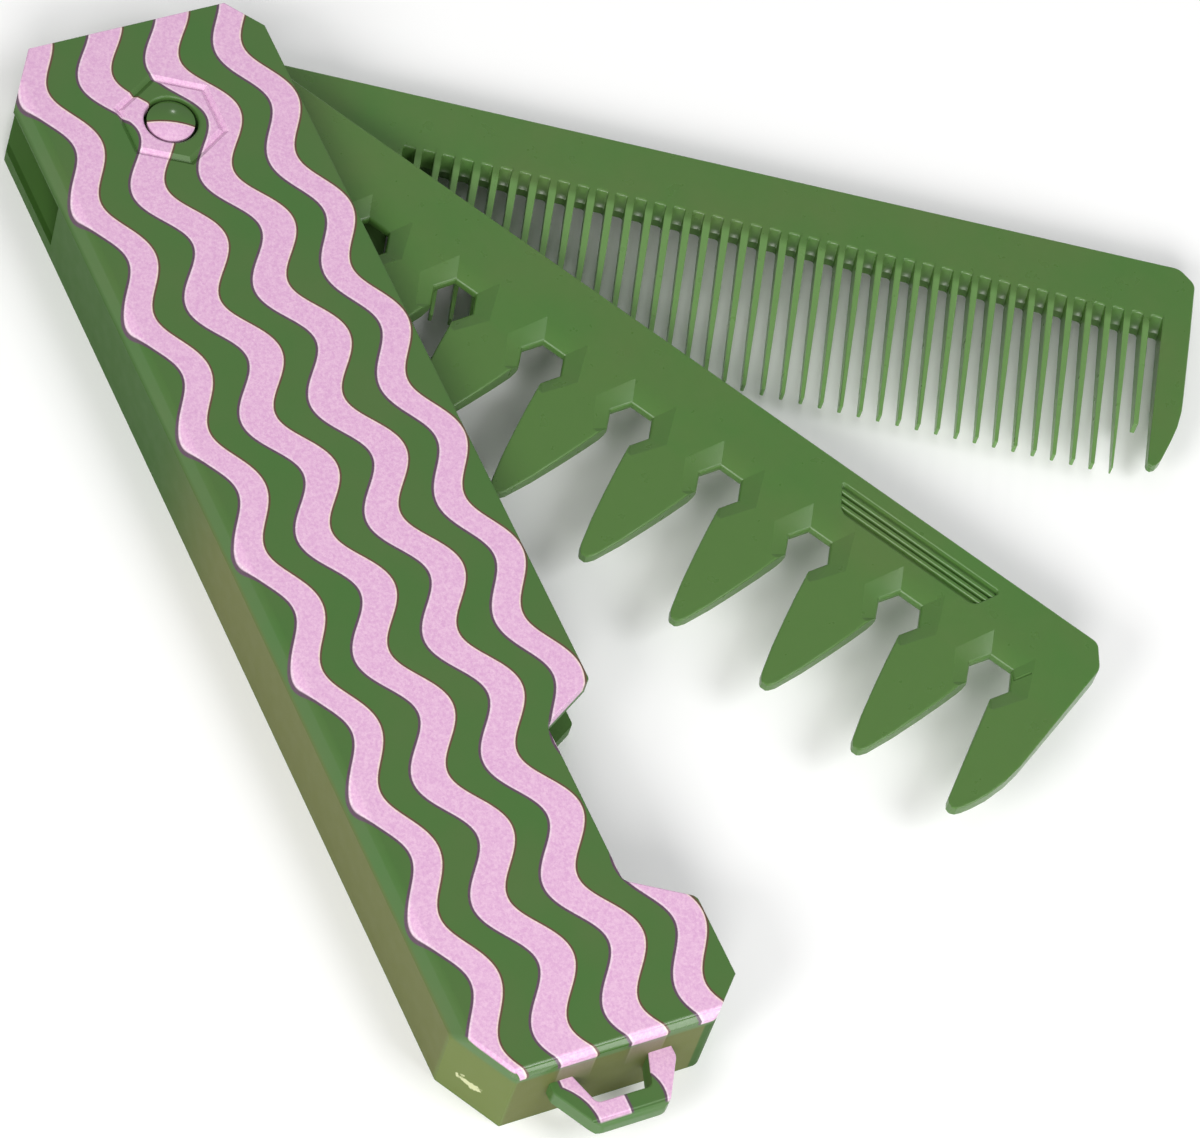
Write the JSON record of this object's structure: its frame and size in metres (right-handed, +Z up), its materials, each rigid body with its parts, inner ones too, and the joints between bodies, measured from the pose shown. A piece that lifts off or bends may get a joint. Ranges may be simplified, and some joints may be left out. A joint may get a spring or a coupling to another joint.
{
  "type": "folding comb",
  "caption": "Pocket comb with a wide-tooth blade and a fine-tooth blade that fold about a rivet into a flat case with a finger notch and a key-ring loop",
  "frame": {"origin": "on the rivet's axis, at the underside of the case", "axes": "+X along the case from the rivet to the key-ring loop, +Y towards the mouth that the blades come out of, +Z up through the printed cover"},
  "size_m": [0.1174, 0.1022, 0.0094],
  "materials": {
    "printed_case": "satin moulded plastic with a printed pattern of wavy stripes",
    "printed_rivet": "satin moulded plastic, printed",
    "wide_blade_plastic": "satin moulded plastic",
    "fine_blade_plastic": "satin moulded plastic"
  },
  "bodies": {
    "housing": {"case": "printed_case", "rivet": "printed_rivet"},
    "wide_blade": {"wide_comb": "wide_blade_plastic"},
    "fine_blade": {"fine_comb": "fine_blade_plastic"}
  },
  "joints": [
    {"name": "wide_hinge", "type": "hinge", "parent": "housing", "child": "wide_blade", "pos_m": [0, 0, 0.00579], "axis": [0, 0, 1], "range_deg": [-30.48, 149.5]},
    {"name": "fine_hinge", "type": "hinge", "parent": "housing", "child": "fine_blade", "pos_m": [0, 0, 0.00303], "axis": [0, 0, 1], "range_deg": [-58.07, 121.9]}
  ]
}
